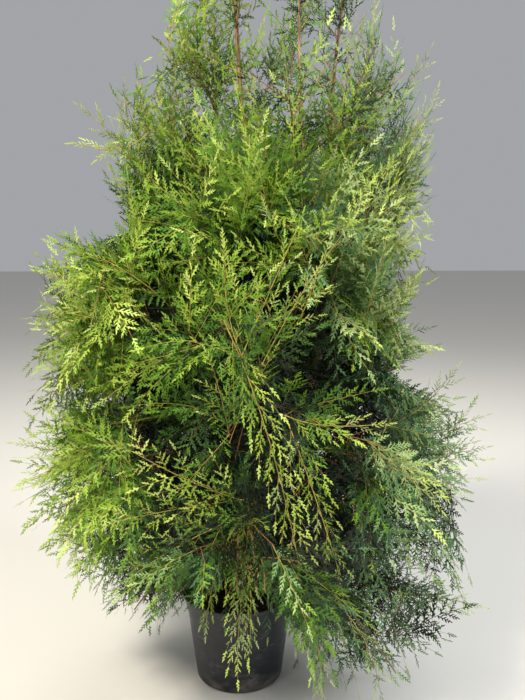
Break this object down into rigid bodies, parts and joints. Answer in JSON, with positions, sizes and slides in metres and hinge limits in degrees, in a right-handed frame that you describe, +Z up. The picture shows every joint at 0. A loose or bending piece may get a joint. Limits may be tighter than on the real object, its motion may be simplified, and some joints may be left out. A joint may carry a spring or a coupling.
{
  "type": "potted thuja shrub",
  "caption": "Bushy evergreen thuja with several upright leaders and drooping skirts, standing in a round black nursery pot.",
  "frame": {"origin": "centre of the pot's flat underside, on the ground", "axes": "+Z up the plant; -Y is the side seen in the picture, with +X to its right"},
  "size_m": [1.2107, 1.2269, 2.0261],
  "materials": {
    "pot": "matt black moulded plastic, dusty",
    "soil": "dark, crumbly potting soil",
    "bark": "thin reddish brown bark, orange-brown on young stems",
    "foliage": "flat scaly sprays, mid green to yellow-green at the tips"
  },
  "bodies": {
    "root": {"pot": "pot", "soil": "soil", "trunk": "bark", "leader_right": "bark", "leader_front": "bark", "leader_back": "bark", "skirt_1": "bark", "skirt_2": "bark", "skirt_3": "bark", "skirt_4": "bark", "skirt_5": "bark", "low_1": "bark", "low_2": "bark", "low_3": "bark", "low_4": "bark", "low_5": "bark", "middle_1": "bark", "middle_2": "bark", "middle_3": "bark", "middle_4": "bark", "upper_1": "bark", "upper_2": "bark", "upper_3": "bark", "upper_4": "bark", "high_1": "bark", "high_2": "bark", "high_3": "bark", "high_4": "bark", "crest_1": "bark", "crest_2": "bark", "crest_3": "bark", "foliage_skirt_1": "foliage", "foliage_skirt_2": "foliage", "foliage_skirt_3": "foliage", "foliage_skirt_4": "foliage", "foliage_skirt_5": "foliage", "foliage_low_1": "foliage", "foliage_low_2": "foliage", "foliage_low_3": "foliage", "foliage_low_4": "foliage", "foliage_low_5": "foliage", "foliage_middle_1": "foliage", "foliage_middle_2": "foliage", "foliage_middle_3": "foliage", "foliage_middle_4": "foliage", "foliage_upper_1": "foliage", "foliage_upper_2": "foliage", "foliage_upper_3": "foliage", "foliage_upper_4": "foliage", "foliage_high_1": "foliage", "foliage_high_2": "foliage", "foliage_high_3": "foliage", "foliage_high_4": "foliage", "foliage_crest_1": "foliage", "foliage_crest_2": "foliage", "foliage_crest_3": "foliage", "foliage_trunk": "foliage", "foliage_leader_right": "foliage", "foliage_leader_front": "foliage", "foliage_leader_back": "foliage"}
  },
  "joints": []
}
